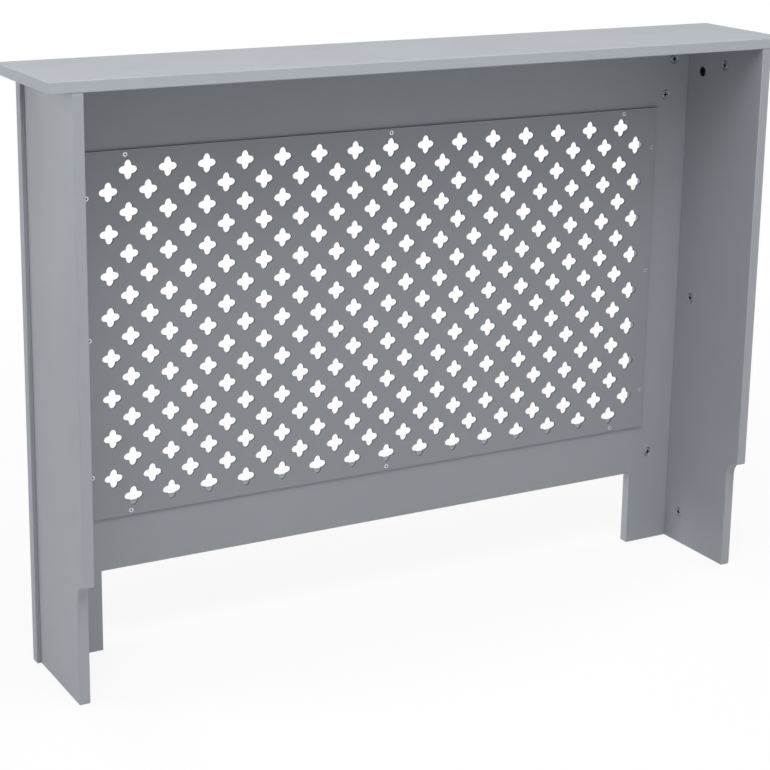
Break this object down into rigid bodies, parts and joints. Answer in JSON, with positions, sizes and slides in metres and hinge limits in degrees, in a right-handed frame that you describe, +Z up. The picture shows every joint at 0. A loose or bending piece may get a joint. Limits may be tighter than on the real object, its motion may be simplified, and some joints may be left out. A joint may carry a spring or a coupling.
{
  "type": "radiator cover cabinet",
  "caption": "Painted board radiator cover: shelf on two side panels and a front frame with legs, a pierced lattice sheet behind the frame, open at the back and bottom.",
  "frame": {"origin": "bottom centre of the whole cover, on the floor, midway between its ends and between the shelf's front and back edges", "axes": "+Z up; the front faces -Y; +Y is the wall side; +X is the right end as seen from the front"},
  "size_m": [1.12, 0.19, 0.815],
  "materials": {
    "painted_board": "satin grey paint on 15 mm fibreboard",
    "painted_sheet": "satin grey paint on 3 mm fibreboard sheet",
    "zinc_cam": "die-cast zinc alloy, dull",
    "plated_steel": "zinc-plated steel",
    "beech": "bare fluted beech dowel"
  },
  "bodies": {
    "root": {"top_shelf": "painted_board", "left_stile": "painted_board", "right_stile": "painted_board", "top_rail": "painted_board", "bottom_rail": "painted_board", "left_side_panel": "painted_board", "right_side_panel": "painted_board", "lattice_panel": "painted_sheet", "bolt_left_side_to_shelf": "plated_steel", "bolt_left_side_to_stile_lower": "plated_steel", "bolt_left_side_to_stile_middle": "plated_steel", "bolt_left_side_to_stile_upper": "plated_steel", "bolt_left_stile_to_bottom_rail": "plated_steel", "bolt_left_stile_to_shelf": "plated_steel", "bolt_left_stile_to_top_rail": "plated_steel", "bolt_right_side_to_shelf": "plated_steel", "bolt_right_side_to_stile_lower": "plated_steel", "bolt_right_side_to_stile_middle": "plated_steel", "bolt_right_side_to_stile_upper": "plated_steel", "bolt_right_stile_to_bottom_rail": "plated_steel", "bolt_right_stile_to_shelf": "plated_steel", "bolt_right_stile_to_top_rail": "plated_steel", "cam_lock_left_side_to_shelf": "zinc_cam", "cam_lock_left_side_to_stile_lower": "zinc_cam", "cam_lock_left_side_to_stile_middle": "zinc_cam", "cam_lock_left_side_to_stile_upper": "zinc_cam", "cam_lock_left_stile_to_bottom_rail": "zinc_cam", "cam_lock_left_stile_to_shelf": "zinc_cam", "cam_lock_left_stile_to_top_rail": "zinc_cam", "cam_lock_right_side_to_shelf": "zinc_cam", "cam_lock_right_side_to_stile_lower": "zinc_cam", "cam_lock_right_side_to_stile_middle": "zinc_cam", "cam_lock_right_side_to_stile_upper": "zinc_cam", "cam_lock_right_stile_to_bottom_rail": "zinc_cam", "cam_lock_right_stile_to_shelf": "zinc_cam", "cam_lock_right_stile_to_top_rail": "zinc_cam", "dowel_left_bottom_rail": "beech", "dowel_left_rail_shelf": "beech", "dowel_left_side_lower": "beech", "dowel_left_side_shelf": "beech", "dowel_left_side_upper": "beech", "dowel_left_top_rail": "beech", "dowel_right_bottom_rail": "beech", "dowel_right_rail_shelf": "beech", "dowel_right_side_lower": "beech", "dowel_right_side_shelf": "beech", "dowel_right_side_upper": "beech", "dowel_right_top_rail": "beech", "screw_bottom_1": "plated_steel", "screw_bottom_2": "plated_steel", "screw_bottom_3": "plated_steel", "screw_left_1": "plated_steel", "screw_left_2": "plated_steel", "screw_left_3": "plated_steel", "screw_right_1": "plated_steel", "screw_right_2": "plated_steel", "screw_right_3": "plated_steel", "screw_top_1": "plated_steel", "screw_top_2": "plated_steel", "screw_top_3": "plated_steel"}
  },
  "joints": []
}
